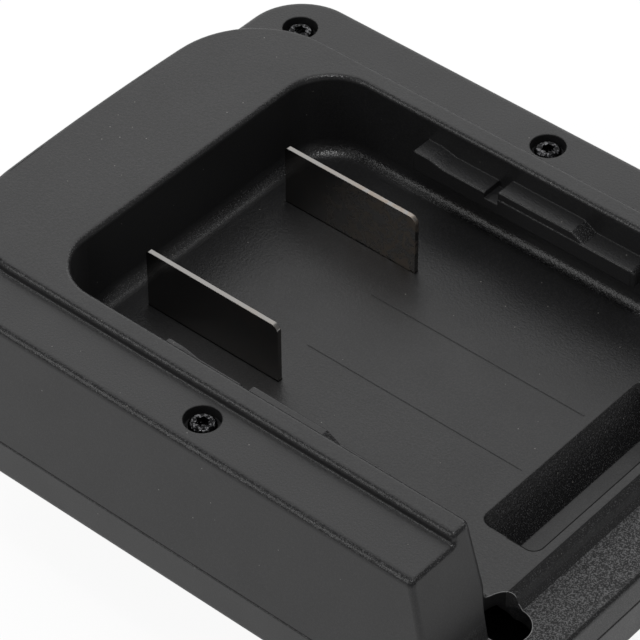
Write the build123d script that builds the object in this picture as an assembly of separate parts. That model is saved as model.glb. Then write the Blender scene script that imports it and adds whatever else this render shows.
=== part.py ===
from build123d import *
import math
import os

# Slide-on battery adapter: a battery slides into the pocket on top, and the foot below slides into a tool.
# X runs along the slide, with the open end of the pocket at +X. Y runs across, and Z points up.
# The origin is under the middle of the outline, on the foot's flat face. All lengths are in millimetres.

# Overall size
overall_length = 118.0
housing_height = 22.6
cover_height = 7.7
foot_height = 17.8

# Moulding practice
wall = 2.4
side_draft = 5.5
running_gap = 0.3
seat_gap = 0.05
overrun = 2.0
near = 0.02

# Plan outline of the housing
back_round = 12.0
front_round = 6.0
back_bulge = 2.7
flange_edge_round = 1.3

# Raised rim round the pocket
rim_step = 1.5
rim_width = 3.9
flange_width = 11.5
raised_back_round = 16.4
back_bow = 1.4
rim_outer_round = 0.95
rim_inner_round = 0.9
rim_foot_round = 0.4

# Battery pocket
pocket_width = 63.0
pocket_depth = 15.0
pocket_round = 8.6
pocket_floor_round = 2.4
floor_line_offset = 7.4
floor_line_start = 30.0
floor_line_end = 70.9
floor_line_width = 0.14
floor_line_depth = 0.05
back_land = 22.6

# Slanted ends of the side walls, measured from the closed end of the pocket
wall_end = 81.1
wall_end_slant = 16.7
wall_end_round = 1.5

# Deck, latch recess, step and shelf at the open end
recess_start = 72.4
recess_length = 10.35
recess_width = 38.4
recess_depth = 6.05
recess_slant = 35.6
recess_round = 1.7
recess_wall = 1.6
step_start = 84.3
step_drop = 3.0
step_slant = 35.6
shelf_edge_round = 0.9
deck_edge_round = 0.4

# Round hole in each corner of the deck
corner_hole_place = 86.5
corner_hole_inset = 1.3
corner_hole_radius = 3.55
corner_hole_rise = 8.0

# Rails that the battery's grooves run on
rail_start = 21.2
rail_length = 42.55
rail_reach = 3.7
rail_drop = 4.9
rail_thickness = 2.95
rail_tab_length = 2.9
rail_tab_ramp = 2.9
rail_tab_rise = 0.65
rail_notch_place = 14.0
rail_notch_length = 2.6
rail_notch_depth = 1.1
rail_block_length = 13.9
rail_block_ramp = 2.5
rail_block_rise = 1.3
rail_block_setback = 0.15
rail_tip_round = 0.8
rail_edge_round = 0.3

# Upright blades in the pocket
blade_spacing = 31.6
blade_thickness = 0.8
blade_length = 26.2
blade_start = 5.65
blade_height = 10.9
blade_corner = 1.3
blade_back_corner = 0.5
blade_foot_reach = 6.6
blade_tab_length = 8.4
blade_tab_width = 5.0
blade_slot_gap = 0.06

# Insulating plate that clamps the blades' feet under the pocket floor
carrier_thickness = 3.6
carrier_width = 40.0
carrier_margin = 2.8
carrier_post_radius = 2.6
carrier_screw_inset = 5.6
carrier_bore_roof = 0.8

# Housing screws
back_screw_place = -10.0
back_screw_reach = 1.6
side_screw_place = 38.25
side_screw_reach = 4.1
counterbore_radius = 2.85
counterbore_depth = 1.9
screw_head_radius = 2.15
screw_head_height = 1.5
screw_shank_radius = 1.3
screw_length = 9.0
screw_clearance = 0.12
drive_radius = 1.15
drive_core_share = 0.7
drive_depth = 0.9
drive_points = 6
boss_radius = 3.1
boss_land = 1.5

# Lower cover
cover_draft = 1.5
cover_floor = 2.4
cover_edge_round = 1.3
lip_thickness = 1.2
lip_height = 1.6
parting_bevel = 0.3
bevel_angle = 45

# Foot that slides into the tool
foot_start = -14.0
foot_length = 72.0
groove_height = 5.6
foot_rail_height = 4.8
crown_step = 5.5
rail_overhang = 4.0
foot_nose_round = 1.5
crown_edge_round = 1.0
foot_rail_bevel = 1.0

# Contact slots in the foot and the clips behind them
contact_spacing = 24.0
slot_width = 2.4
slot_length = 17.0
slot_height = 9.6
clip_pocket_width = 5.6
clip_thickness = 0.5
clip_length = 15.0
clip_mouth = 1.9
clip_pinch = 0.5
clip_pinch_share = 0.25
clip_mouth_share = 0.08
clip_tail_length = 11.0
block_length = 21.0
block_height = 10.6
block_shoulder = 5.7
block_side_gap = 0.6
block_roof = 2.2
block_screw_length = 5.5

# Wires and their crimped terminals
wire_radius = 1.7
wire_bend = 6.9
wire_turn_reach = 12.4
terminal_barrel_radius = 2.2
terminal_barrel_length = 5.4
terminal_tongue_thickness = 0.5
terminal_tongue_length = 4.4
terminal_tongue_width = 4.2

# Spring latch that holds the adapter in the tool
plinth_length = 30.0
plinth_width = 48.0
plinth_height = 7.0
plinth_wall = 2.2
plinth_edge_round = 1.2
plinth_corner = 2.4
latch_plate_length = 25.4
latch_plate_width = 30.0
latch_plate_thickness = 2.6
latch_plate_inset = 1.6
hook_start = 3.6
hook_length = 4.8
hook_width = 17.0
hook_rise = 3.0
hook_tip = 1.2
pad_start = 14.2
pad_length = 9.6
pad_width = 19.0
pad_rise = 0.6
pad_dish = 0.9
latch_travel = 3.2
spring_place = 4.6
spring_spacing = 24.0
spring_wire_radius = 0.3
spring_wire_sides = 6
spring_coil_radius = 1.9
spring_turns = 5
spring_length = 8.4
spring_post_radius = 1.2
spring_seat_radius = 2.6

# Levels, from the foot's face up
cover_bottom = foot_height
cover_inside = cover_bottom + cover_floor
parting = cover_bottom + cover_height
rim_top = parting + housing_height
flange_top = rim_top - rim_step
pocket_floor = rim_top - pocket_depth
floor_under = pocket_floor - wall
shelf_top = pocket_floor - step_drop
recess_floor = pocket_floor - recess_depth

# Places along X
front_end = overall_length / 2
back_end = -overall_length / 2
pocket_back = back_end + back_land
flange_back = back_end + back_bulge

# Widths
pocket_half = pocket_width / 2
rim_half = pocket_half + rim_width
overall_width = 2 * (rim_half + flange_width)
block_width = contact_spacing + clip_pocket_width + 2 * block_shoulder
crown_width = block_width + 2 * (block_side_gap + wall)
foot_rail_width = crown_width + 2 * crown_step
neck_width = foot_rail_width - 2 * rail_overhang


def along(place):
    """X of a place measured from the closed end of the pocket."""
    return pocket_back + place


def slant(angle, height):
    """Sideways run of a face that leans by the angle over a height."""
    return height * math.tan(math.radians(angle))


def block(x_low, x_high, y_low, y_high, z_low, z_high):
    """Plain block between two corners."""
    size = Box(x_high - x_low, y_high - y_low, z_high - z_low, align=(Align.MIN, Align.MIN, Align.MIN))
    return Pos(x_low, y_low, z_low) * size


def centred_block(x_low, x_high, width, z_low, z_high):
    """Plain block that is centred across the adapter."""
    return block(x_low, x_high, -width / 2, width / 2, z_low, z_high)


def side_profile(points, width):
    """Solid with a side view given by points of X and Z, centred across the adapter."""
    face = make_face(Polyline([(x, 0, z) for x, z in points], close=True))
    return extrude(face, width / 2, (0, 1, 0), both=True)


def upright_edges(solid):
    """Edges that run straight up."""
    return solid.edges().filter_by(Axis.Z)


def upright(x, y, z_low, radius, height):
    """Round post or bore that stands on a level."""
    post = Cylinder(radius, height, align=(Align.CENTER, Align.CENTER, Align.MIN))
    return Pos(x, y, z_low) * post


def flange_outline(inset):
    """Plan outline of the low flange at the parting line, moved inwards by the inset."""
    length = front_end - flange_back
    sheet = Pos((front_end + flange_back) / 2, 0) * Rectangle(length - 2 * inset, overall_width - 2 * inset)
    corners = sheet.vertices().sort_by(Axis.X)
    sheet = fillet(corners[:2], back_round - inset)
    corners = sheet.vertices().sort_by(Axis.X)
    return fillet(corners[-2:], front_round - inset)


def raised_outline(inset):
    """Plan outline of the raised part at the parting line, moved inwards by the inset, with a bowed back."""
    lean = slant(side_draft, housing_height)
    end = along(wall_end) + lean + 2 * overrun
    half = rim_half + lean - inset
    start = back_end + inset
    corner = start + back_bow
    sides = Polyline((corner, -half), (end, -half), (end, half), (corner, half))
    back = ThreePointArc((corner, half), (start, 0), (corner, -half))
    sheet = make_face(sides + back)
    corners = sheet.vertices().sort_by(Axis.X)
    return fillet(corners[:2], raised_back_round + lean - inset)


def drafted(outline, low, high):
    """Outline drawn up from one level to another, leaning in by the side draft."""
    return extrude(Pos(0, 0, low) * outline, high - low, (0, 0, 1), taper=side_draft)


def end_cut(grow, sink):
    """Everything past the slanted wall ends and above the shelf, sunk a little below it."""
    shift = grow / math.cos(math.radians(wall_end_slant))
    low = shelf_top - grow - sink
    high = rim_top + overrun
    foot_x = along(wall_end) + slant(wall_end_slant, flange_top - low) - shift
    head_x = along(wall_end) - slant(wall_end_slant, high - flange_top) - shift
    far = front_end + overrun
    return side_profile([(head_x, high), (foot_x, low), (far, low), (far, high)], overall_width + overrun)


def deck_keep(grow):
    """Deck that stands between the wall ends, up to the step."""
    low = shelf_top - grow - overrun
    high = pocket_floor - grow
    shift = grow / math.cos(math.radians(step_slant))
    foot_x = along(step_start) + slant(step_slant, pocket_floor - low) - shift
    head_x = along(step_start) + slant(step_slant, grow) - shift
    start = along(recess_start) - overrun
    outline = [(start, low), (foot_x, low), (head_x, high), (start, high)]
    deck = side_profile(outline, pocket_width + 2 * grow)
    return fillet(deck.edges().filter_by(Axis.Y).sort_by(Axis.Z)[-2:].sort_by(Axis.X)[-1], deck_edge_round)


def pocket_void(grow):
    """Battery pocket, open at its front end."""
    start = pocket_back - grow
    end = front_end + overrun
    sheet = Pos((start + end) / 2, 0) * Rectangle(end - start, pocket_width + 2 * grow)
    corners = sheet.vertices().sort_by(Axis.X)
    sheet = fillet(corners[:2], pocket_round + grow)
    low = pocket_floor - grow
    void = extrude(Pos(0, 0, low) * sheet, rim_top + overrun - low, (0, 0, 1))
    bottom = void.faces().sort_by(Axis.Z)[0].edges()
    kept = [edge for edge in bottom if edge.center().X < end - overrun / 2]
    return fillet(kept, pocket_floor_round + grow)


def open_void(grow, sink=0):
    """Pocket, and the space over the step and shelf in front of it."""
    return pocket_void(grow) + (end_cut(grow, sink) - deck_keep(grow))


def recess_void(grow):
    """Recess that takes the battery's latch, with walls that lean."""
    low = recess_floor - grow
    high = pocket_floor + overrun
    start = along(recess_start) - grow
    end = along(recess_start + recess_length) + grow
    run = slant(recess_slant, recess_depth)
    outline = [
        (start - slant(recess_slant, overrun), high),
        (start + run, low),
        (end, low),
        (end, high),
    ]
    solid = side_profile(outline, recess_width + 2 * grow)
    uprights = [edge for edge in solid.edges() if abs(edge.center().Y) > recess_width / 2 - overrun
                and edge.bounding_box().size.Z > recess_depth]
    return fillet(uprights, recess_round + grow)


def corner_hole(side):
    """Round hole in the corner of the deck. It also cuts into the foot of the wall's end."""
    low = shelf_top - wall - overrun
    height = pocket_floor + corner_hole_rise - low
    y = side * (pocket_half - corner_hole_inset)
    return upright(along(corner_hole_place), y, low, corner_hole_radius, height)


def floor_lines():
    """Fine lines that the mould's insert leaves in the pocket floor."""
    lines = Part()
    for side in (-1, 1):
        middle = side * floor_line_offset
        lines += block(along(floor_line_start), along(floor_line_end), middle - floor_line_width / 2,
                       middle + floor_line_width / 2, pocket_floor - floor_line_depth, pocket_floor + overrun)
    return lines


def rail_bar(points, setback):
    """Bar along the wall of the pocket, with a side view given by points of X and Z and a rounded upper edge."""
    front = pocket_half - rail_reach + setback
    face = make_face(Polyline([(x, front, z) for x, z in points], close=True))
    bar = extrude(face, rail_reach - setback + wall / 2, (0, 1, 0))
    top = rim_top - rail_drop - rail_notch_depth / 2
    upper = [edge for edge in bar.edges() if abs(edge.center().Y - front) < near and edge.center().Z > top
             and edge.bounding_box().size.X > near]
    return fillet(upper, rail_edge_round)


def far_rail():
    """Rail on one wall of the pocket: a low bar with a tab at its back end, a notch, and a raised length."""
    start = along(rail_start)
    end = start + rail_length
    top = rim_top - rail_drop
    low = top - rail_thickness
    notch = start + rail_notch_place
    raised = notch + rail_notch_length
    ramp = raised + rail_block_length
    bar = [
        (start, low),
        (start, top + rail_tab_rise),
        (start + rail_tab_length, top + rail_tab_rise),
        (start + rail_tab_length + rail_tab_ramp, top),
        (notch, top),
        (notch, top - rail_notch_depth),
        (raised, top - rail_notch_depth),
        (raised, top),
        (end, top),
        (end, low),
    ]
    length = [
        (raised, low),
        (raised, top + rail_block_rise),
        (ramp, top + rail_block_rise),
        (ramp + rail_block_ramp, top),
        (ramp + rail_block_ramp, low),
    ]
    front = pocket_half - rail_reach
    body = rail_bar(bar, 0)
    tip = [edge for edge in upright_edges(body)
           if edge.center().X > end - near and edge.center().Y < front + near]
    return fillet(tip, rail_tip_round) + rail_bar(length, rail_block_setback)


def screw_places():
    """X and Y of the four housing screws."""
    places = []
    for side in (-1, 1):
        places.append((along(back_screw_place), side * (rim_half + back_screw_reach)))
        places.append((along(side_screw_place), side * (rim_half + side_screw_reach)))
    return places


def blade_slots():
    """Slots in the pocket floor that the blades stand through."""
    slots = Part()
    half = blade_thickness / 2 + blade_slot_gap
    for side in (-1, 1):
        middle = side * blade_spacing / 2
        start = along(blade_start) - blade_slot_gap
        end = along(blade_start + blade_length) + blade_slot_gap
        slots += block(start, end, middle - half, middle + half, floor_under - overrun,
                       pocket_floor + overrun)
    return slots


def carrier_screw_places():
    """X of the two screws that hold the blade carrier, on the centre line."""
    start = along(blade_start) - carrier_margin + carrier_screw_inset
    end = along(blade_start + blade_length) + carrier_margin - carrier_screw_inset
    return (start, end)


def level_edges(solid, level):
    """Edges that lie flat at a level."""
    boxes = [(edge, edge.bounding_box()) for edge in solid.edges()]
    return [edge for edge, box in boxes if max(abs(box.min.Z - level), abs(box.max.Z - level)) < near]


def raised_part():
    """Raised part of the housing with its upper outer edge rounded."""
    body = drafted(raised_outline(0), parting, rim_top)
    return fillet(body.faces().sort_by(Axis.Z)[-1].edges(), rim_outer_round)


def round_rim_foot(solid):
    """Round the inner corner where the raised rim meets the flange."""
    foot = [edge for edge in level_edges(solid, flange_top)
            if abs(edge.center().Y) < rim_half + rim_outer_round and edge.bounding_box().size.X > pocket_depth]
    return fillet(foot, rim_foot_round)


def wall_end_edges(solid):
    """Leaning edges between the pocket's walls and the wall ends."""
    return [edge for edge in solid.edges() if edge.center().X > along(wall_end) - wall
            and edge.bounding_box().size.Z > pocket_depth / 2 and abs(abs(edge.center().Y) - pocket_half) < near]


def round_openings(solid):
    """Round the inner corners of the wall ends, then the edge that runs round the pocket and over the ends."""
    solid = fillet(wall_end_edges(solid), wall_end_round)
    inner = [edge for edge in level_edges(solid, rim_top)
             if abs(edge.center().Y) < pocket_half + wall_end_round and edge.center().X > pocket_back - near]
    return fillet(inner, rim_inner_round)


def nose():
    """Front of the housing up to the shelf, with a rounded edge."""
    body = drafted(flange_outline(0), parting, shelf_top)
    return fillet(body.faces().sort_by(Axis.Z)[-1].edges(), shelf_edge_round)


def housing_solid():
    """Outer form of the upper housing before it is hollowed."""
    flange = drafted(flange_outline(0), parting, flange_top)
    flange = fillet(flange.faces().sort_by(Axis.Z)[-1].edges(), flange_edge_round)
    for x, y in screw_places():
        seat = flange_top - counterbore_depth
        flange -= upright(x, y, seat, counterbore_radius, counterbore_depth + overrun)
    form = round_rim_foot(flange + raised_part())
    form -= open_void(0, 2 * shelf_edge_round)
    return round_openings(form) + nose()


def housing_hollow():
    """Space inside the upper housing."""
    flange = drafted(flange_outline(wall), parting, flange_top - wall)
    raised = drafted(raised_outline(wall), parting, rim_top - wall)
    return (flange + raised) - open_void(wall)


def upper_housing():
    """Upper moulding: pocket, rim, flange, rails, deck, recess and shelf."""
    shell = housing_solid()
    shell -= housing_hollow() - recess_void(recess_wall)
    shell -= recess_void(0)
    rail = far_rail()
    shell += rail + mirror(rail, Plane.XZ)
    for side in (-1, 1):
        shell -= corner_hole(side)
    shell -= blade_slots()
    shell -= floor_lines()
    bore = screw_shank_radius + screw_clearance
    for x in carrier_screw_places():
        post_low = floor_under - seat_gap - blade_thickness
        bore_top = pocket_floor - carrier_bore_roof
        shell += upright(x, 0, post_low, carrier_post_radius, floor_under - post_low)
        shell -= upright(x, 0, post_low - overrun, bore, bore_top - post_low + overrun)
    for x, y in screw_places():
        head_seat = flange_top - counterbore_depth
        low = head_seat - boss_land
        shell += upright(x, y, low, boss_radius, boss_land + counterbore_depth / 2) - open_void(0)
        shell -= upright(x, y, head_seat, counterbore_radius, counterbore_depth) - raised_keep()
        shell -= upright(x, y, low - overrun, bore, boss_land + 2 * overrun)
    for side in (-1, 1):
        shell += spring_seat(side)
    return shell


def raised_keep():
    """Raised part, which a counterbore doesn't cut."""
    return drafted(raised_outline(0), parting, rim_top)


def spring_x():
    """X of the latch springs."""
    return latch_start() + spring_place


def latch_start():
    """X where the latch plate starts."""
    return along(foot_start + foot_length) + latch_plate_inset


def latch_plate_bottom():
    """Level of the latch plate's underside at rest."""
    return cover_bottom - plinth_height + plinth_wall + running_gap


def latch_plate_top():
    """Level of the latch plate's upper face at rest."""
    return latch_plate_bottom() + latch_plate_thickness


def spring_seat(side):
    """Boss and guide pin for a latch spring, under the pocket floor."""
    seat = latch_plate_top() + spring_length + seat_gap
    boss = upright(spring_x(), side * spring_spacing / 2, seat, spring_seat_radius, floor_under - seat)
    pin_low = latch_plate_top() + latch_travel + running_gap
    return boss + upright(spring_x(), side * spring_spacing / 2, pin_low, spring_post_radius, seat - pin_low)


def cover_outline(inset):
    """Outline of the lower cover at the parting line."""
    return flange_outline(inset) + raised_outline(inset)


def cover_body(outline):
    """Tray blank under one outline, with a rounded lower edge and a bevel at the parting line."""
    shoulder = Pos(0, 0, parting - parting_bevel) * outline
    body = extrude(shoulder, cover_height - parting_bevel, (0, 0, -1), taper=cover_draft)
    body = fillet(body.faces().sort_by(Axis.Z)[0].edges(), cover_edge_round)
    return body + extrude(shoulder, parting_bevel, (0, 0, 1), taper=bevel_angle)


def cover_shell():
    """Tray of the lower cover with its locating lip."""
    tray = cover_body(flange_outline(0)) + cover_body(raised_outline(0))
    lip_out = wall + slant(side_draft, lip_height) + seat_gap
    tray += extrude(Pos(0, 0, parting - overrun) * cover_outline(lip_out), overrun + lip_height, (0, 0, 1))
    inner = cover_outline(lip_out + lip_thickness)
    tray -= extrude(Pos(0, 0, cover_inside) * inner, cover_height + lip_height + overrun, (0, 0, 1))
    return tray


def foot_profile():
    """Cross-section of the foot: neck, overhanging rails and crown, as points of Y and Z."""
    neck = neck_width / 2
    rail = foot_rail_width / 2
    crown = crown_width / 2
    rail_top = cover_bottom - groove_height
    rail_low = rail_top - foot_rail_height
    right = [
        (neck, cover_inside),
        (neck, rail_top),
        (rail - foot_rail_bevel, rail_top),
        (rail, rail_top - foot_rail_bevel),
        (rail, rail_low + foot_rail_bevel),
        (rail - foot_rail_bevel, rail_low),
        (crown, rail_low),
        (crown, 0),
    ]
    return right + [(-y, z) for y, z in reversed(right)]


def foot():
    """Block with rails that slides into the tool."""
    start = along(foot_start)
    face = make_face(Polyline([(start, y, z) for y, z in foot_profile()], close=True))
    body = extrude(face, foot_length, (1, 0, 0))
    nose = [edge for edge in upright_edges(body)
            if edge.center().X < start + overrun / 2 and edge.center().Z < cover_bottom - groove_height]
    body = fillet(nose, foot_nose_round)
    crown = body.faces().sort_by(Axis.Z)[0].edges()
    body = fillet(crown, crown_edge_round)
    return body


def foot_hollow():
    """Space inside the foot for the contacts and wires."""
    start = along(foot_start) + wall
    end = along(foot_start + foot_length) - wall
    return centred_block(start, end, crown_width - 2 * wall, wall, cover_inside + overrun)


def contact_slots():
    """Slots in the foot's nose and face that let the tool's blades in."""
    slots = Part()
    start = along(foot_start)
    for side in (-1, 1):
        middle = side * contact_spacing / 2
        slots += block(start - overrun, start + slot_length, middle - slot_width / 2, middle + slot_width / 2,
                       -overrun, slot_height)
    return slots


def plinth():
    """Low plinth behind the foot, which houses the latch."""
    start = along(foot_start + foot_length) - wall
    end = along(foot_start + foot_length) + plinth_length
    low = cover_bottom - plinth_height
    body = centred_block(start, end, plinth_width, low, cover_inside)
    body = fillet([edge for edge in upright_edges(body) if edge.center().X > start + overrun], plinth_corner)
    return fillet(body.faces().sort_by(Axis.Z)[0].edges().sort_by(Axis.X)[1:], plinth_edge_round)


def plinth_hollow():
    """Space in the plinth for the latch plate."""
    start = along(foot_start + foot_length)
    end = along(foot_start + foot_length) + plinth_length - plinth_wall
    low = cover_bottom - plinth_height + plinth_wall
    return centred_block(start, end, plinth_width - 2 * plinth_wall, low, cover_inside + overrun)


def latch_windows():
    """Openings in the plinth for the hook and the thumb pad."""
    low = cover_bottom - plinth_height - overrun
    high = cover_bottom - plinth_height + plinth_wall + overrun
    hook_x = latch_start() + hook_start
    pad_x = latch_start() + pad_start
    hook_hole = centred_block(hook_x - running_gap, hook_x + hook_length + running_gap,
                              hook_width + 2 * running_gap, low, high)
    pad_hole = centred_block(pad_x - running_gap, pad_x + pad_length + running_gap,
                             pad_width + 2 * running_gap, low, high)
    return hook_hole + pad_hole


def cover_bosses():
    """Screw bosses that rise from the lower cover to the flange."""
    top = flange_top - counterbore_depth - boss_land - seat_gap
    low = cover_inside - cover_floor / 2
    bore = screw_shank_radius + screw_clearance
    bosses = Part()
    for x, y in screw_places():
        bosses += upright(x, y, low, boss_radius, top - low)
        bosses -= upright(x, y, top - screw_length, bore, screw_length + overrun)
    room = drafted(flange_outline(wall + running_gap), parting, flange_top)
    room += centred_block(back_end, front_end, overall_width - 2 * wall, cover_bottom, parting)
    return bosses & room


def block_screw_places():
    """X and Y of the screws that hold the contact block."""
    x = along(foot_start) + wall + block_length / 2
    return [(x, side * (block_width / 2 - boss_radius)) for side in (-1, 1)]


def lower_cover():
    """Lower moulding: tray, foot, plinth, slots and screw bosses."""
    body = cover_shell() + foot() + plinth()
    body -= foot_hollow()
    body -= plinth_hollow()
    body -= contact_slots()
    body -= latch_windows()
    body += cover_bosses()
    for x, y in block_screw_places():
        bore_low = wall / 2
        body -= upright(x, y, bore_low, screw_shank_radius + screw_clearance, wall)
    return body


def blade(side):
    """Stamped blade: upright tongue, foot under the floor and a tab for its terminal."""
    middle = side * blade_spacing / 2
    low = floor_under - seat_gap - blade_thickness
    start = along(blade_start)
    end = along(blade_start + blade_length)
    top = pocket_floor + blade_height
    tongue = block(start, end, middle - blade_thickness / 2, middle + blade_thickness / 2, low, top)
    for end_x, radius in ((end, blade_corner), (start, blade_back_corner)):
        corner = [edge for edge in tongue.edges().filter_by(Axis.Y)
                  if edge.center().Z > top - near and abs(edge.center().X - end_x) < near]
        tongue = fillet(corner, radius)
    inner = middle - side * blade_foot_reach
    sole = block(start, end, min(middle, inner), max(middle, inner), low, low + blade_thickness)
    tab_middle = side * contact_spacing / 2
    tab = block(end - overrun, end + blade_tab_length, tab_middle - blade_tab_width / 2,
                tab_middle + blade_tab_width / 2, low, low + blade_thickness)
    return tongue + sole + tab


def star_socket():
    """Star-shaped drive recess, cut down from level zero."""
    points = []
    for corner in range(2 * drive_points):
        radius = drive_radius * (drive_core_share if corner % 2 else 1)
        angle = math.pi * corner / drive_points
        points.append((radius * math.cos(angle), radius * math.sin(angle), -drive_depth))
    return extrude(make_face(Polyline(points, close=True)), drive_depth + overrun, (0, 0, 1))


def screw(x, y, head_top, length, upward):
    """Pan-head screw with a star socket. Its head is up, or down when it is driven upwards."""
    head = upright(0, 0, -screw_head_height, screw_head_radius, screw_head_height)
    rim = head.faces().sort_by(Axis.Z)[-1].edges()
    head = fillet(rim, screw_head_height / 2)
    shank = upright(0, 0, -screw_head_height - length, screw_shank_radius, length)
    shank = chamfer(shank.faces().sort_by(Axis.Z)[0].edges(), screw_shank_radius / 2)
    body = head + shank - star_socket()
    if upward:
        body = Rot(180, 0, 0) * body
    return Pos(x, y, head_top) * body


def housing_screws():
    """Four screws that close the housing."""
    seat = flange_top - counterbore_depth
    return [screw(x, y, seat + screw_head_height, screw_length, False) for x, y in screw_places()]


def blade_carrier():
    """Insulating plate that clamps the blades' feet."""
    high = floor_under - 2 * seat_gap - blade_thickness
    low = high - carrier_thickness
    start = along(blade_start) - carrier_margin
    end = along(blade_start + blade_length) + carrier_margin
    plate = centred_block(start, end, carrier_width, low, high)
    plate = fillet(upright_edges(plate), carrier_margin / 2)
    for x in carrier_screw_places():
        bore = screw_shank_radius + screw_clearance
        plate -= upright(x, 0, low - overrun, bore, carrier_thickness + 2 * overrun)
    return plate


def carrier_screws():
    """Two screws that hold the blade carrier from below."""
    low = floor_under - 2 * seat_gap - blade_thickness - carrier_thickness
    return [screw(x, 0, low - screw_head_height, block_screw_length, True) for x in carrier_screw_places()]


def block_span():
    """Start, end and top of the contact block."""
    start = along(foot_start) + wall + seat_gap
    return start, start + block_length, wall + seat_gap + block_height


def contact_block():
    """Insulating block that holds the contact clips in the foot."""
    start, end, top = block_span()
    body = centred_block(start, end, block_width, wall + seat_gap, top)
    for side in (-1, 1):
        middle = side * contact_spacing / 2
        body -= block(start - overrun, end + overrun, middle - clip_pocket_width / 2,
                      middle + clip_pocket_width / 2, wall + seat_gap - overrun, top - block_roof)
    for x, y in block_screw_places():
        body -= upright(x, y, 0, screw_shank_radius + screw_clearance, top + overrun)
    return body


def block_screws():
    """Two screws that hold the contact block in the foot."""
    top = block_span()[2]
    length = top - wall / 2 - seat_gap - screw_clearance
    return [screw(x, y, top + screw_head_height, length, False) for x, y in block_screw_places()]


def clip_leaf(start, side):
    """Spring leaf of a contact clip, pinched towards its mouth, in plan."""
    root = clip_pocket_width / 2 - seat_gap
    pinch = clip_pinch / 2
    mouth = clip_mouth / 2
    inner = [
        (clip_length, root - clip_thickness),
        (clip_length * clip_pinch_share, pinch),
        (clip_length * clip_mouth_share, pinch),
        (0, mouth),
    ]
    outer = [(x, y + clip_thickness) for x, y in reversed(inner)]
    return [(start + x, side * y) for x, y in inner + outer]


def contact_clip(side):
    """Folded contact clip: roof strip, two spring leaves and a tail."""
    start, end, top = block_span()
    low = wall + 2 * seat_gap
    high = top - block_roof - seat_gap
    middle = side * contact_spacing / 2
    clip = Part()
    for leaf_side in (-1, 1):
        points = [(x, middle + y, low) for x, y in clip_leaf(start, leaf_side)]
        clip += extrude(make_face(Polyline(points, close=True)), high - low, (0, 0, 1))
    half = clip_pocket_width / 2 - seat_gap
    clip += block(start + clip_length / 2, end + clip_tail_length, middle - half, middle + half,
                  high - clip_thickness, high)
    return clip


def tab_face():
    """Level of the underside of the blade tabs."""
    return floor_under - seat_gap - blade_thickness


def tail_face():
    """Level of the upper face of the clips' tails."""
    return block_span()[2] - block_roof - seat_gap


def wire_levels():
    """Levels of the wire's lower and upper runs."""
    return tail_face() + seat_gap + terminal_barrel_radius, tab_face() - seat_gap - terminal_barrel_radius


def terminal_starts():
    """X where the lower and upper terminals' tongues start."""
    lower = block_span()[1] + clip_tail_length - terminal_tongue_length - overrun
    upper = along(blade_start + blade_length) + carrier_margin + seat_gap
    return lower, upper


def terminal(side, start, level, up):
    """Crimped terminal: a barrel round the wire's end and a flat tongue."""
    middle = side * contact_spacing / 2
    barrel = upright(0, 0, 0, terminal_barrel_radius, terminal_barrel_length)
    bore = upright(0, 0, terminal_tongue_thickness, wire_radius + seat_gap, terminal_barrel_length)
    place = Pos(start + terminal_tongue_length, middle, level) * Rot(0, 90, 0)
    face = level + up * terminal_barrel_radius
    back = face - up * terminal_tongue_thickness
    half = terminal_tongue_width / 2
    end = start + terminal_tongue_length + terminal_tongue_thickness
    tongue = block(start, end, middle - half, middle + half, min(face, back), max(face, back))
    return (place * barrel + tongue) - place * bore


def wire(side):
    """Insulated wire from a blade's terminal down to its contact clip."""
    middle = side * contact_spacing / 2
    low, high = wire_levels()
    lower, upper = terminal_starts()
    inset = terminal_tongue_length + 2 * terminal_tongue_thickness
    turn_x = upper + terminal_tongue_length + wire_turn_reach
    points = [
        (upper + inset, middle, high),
        (turn_x, middle, high),
        (turn_x, middle, low),
        (lower + inset, middle, low),
    ]
    path = FilletPolyline(*points, radius=wire_bend)
    section = Plane(origin=points[0], z_dir=(1, 0, 0)) * Circle(wire_radius)
    return sweep(section, path)


def latch_slide():
    """Latch moulding: plate, ramped hook and dished thumb pad."""
    start = latch_start()
    low = latch_plate_bottom()
    plate = centred_block(start, start + latch_plate_length, latch_plate_width, low, latch_plate_top())
    plate = fillet(upright_edges(plate), plinth_edge_round)
    face = cover_bottom - plinth_height
    hook_x = start + hook_start
    tip = face - hook_rise
    outline = [
        (hook_x, low + latch_plate_thickness / 2),
        (hook_x, face),
        (hook_x + hook_length - hook_tip, tip),
        (hook_x + hook_length, tip),
        (hook_x + hook_length, low + latch_plate_thickness / 2),
    ]
    hook = side_profile(outline, hook_width)
    pad_x = start + pad_start
    root = low + latch_plate_thickness / 2
    pad = centred_block(pad_x, pad_x + pad_length, pad_width, face - pad_rise, root)
    pad = fillet(upright_edges(pad), plinth_edge_round)
    dish_radius = pad_length * pad_length / (8 * pad_dish) + pad_dish / 2
    dish = Cylinder(dish_radius, pad_width + 2 * overrun, rotation=(90, 0, 0))
    pad -= Pos(pad_x + pad_length / 2, 0, face - pad_rise + pad_dish - dish_radius) * dish
    return plate + hook + pad


def latch_spring(side):
    """Compression spring of the latch, with flat ground ends."""
    low = latch_plate_top() + seat_gap
    high = low + spring_length - seat_gap
    middle = side * spring_spacing / 2
    rise = high - low - 2 * spring_wire_radius
    helix = Helix(rise / spring_turns, rise, spring_coil_radius)
    start = helix @ 0
    section = Plane(origin=start, z_dir=helix % 0) * RegularPolygon(spring_wire_radius, spring_wire_sides)
    coil = sweep(section, helix, is_frenet=True)
    coil = Pos(spring_x(), middle, low + spring_wire_radius) * coil
    limits = upright(spring_x(), middle, low, spring_seat_radius, high - low)
    return coil & limits


def save(name, shape):
    """Write one sub-part."""
    if isinstance(shape, (list, tuple)):
        shape = Compound(children=list(shape))
    shape.label = name
    export_step(shape, os.path.join("parts", name + ".step"))


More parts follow.
